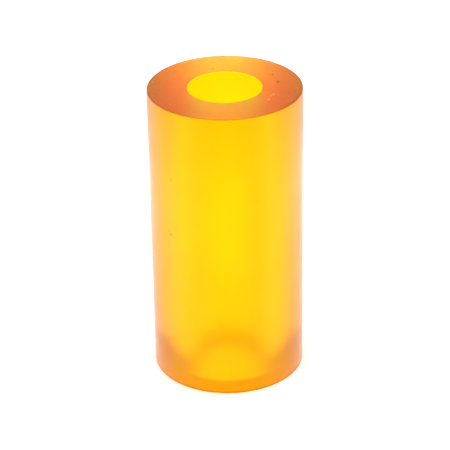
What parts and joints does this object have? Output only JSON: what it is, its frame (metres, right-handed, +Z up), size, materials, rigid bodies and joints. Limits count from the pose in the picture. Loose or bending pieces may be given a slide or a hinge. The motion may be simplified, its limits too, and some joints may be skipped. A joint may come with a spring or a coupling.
{
  "type": "insulating bush",
  "caption": "Thick-walled insulating tube cast in translucent amber polyurethane, with a plain through bore, square-cut ends and lightly broken edges.",
  "frame": {"origin": "centre of the bore, on the flat end that the tube stands on", "axes": "+Z up along the bore; +X and +Y across it, with no preferred turn about +Z, because the tube is round and plain"},
  "size_m": [0.05, 0.05, 0.1],
  "materials": {
    "amber_urethane": "satin"
  },
  "bodies": {
    "root": {"insulator_tube": "amber_urethane"}
  },
  "joints": []
}
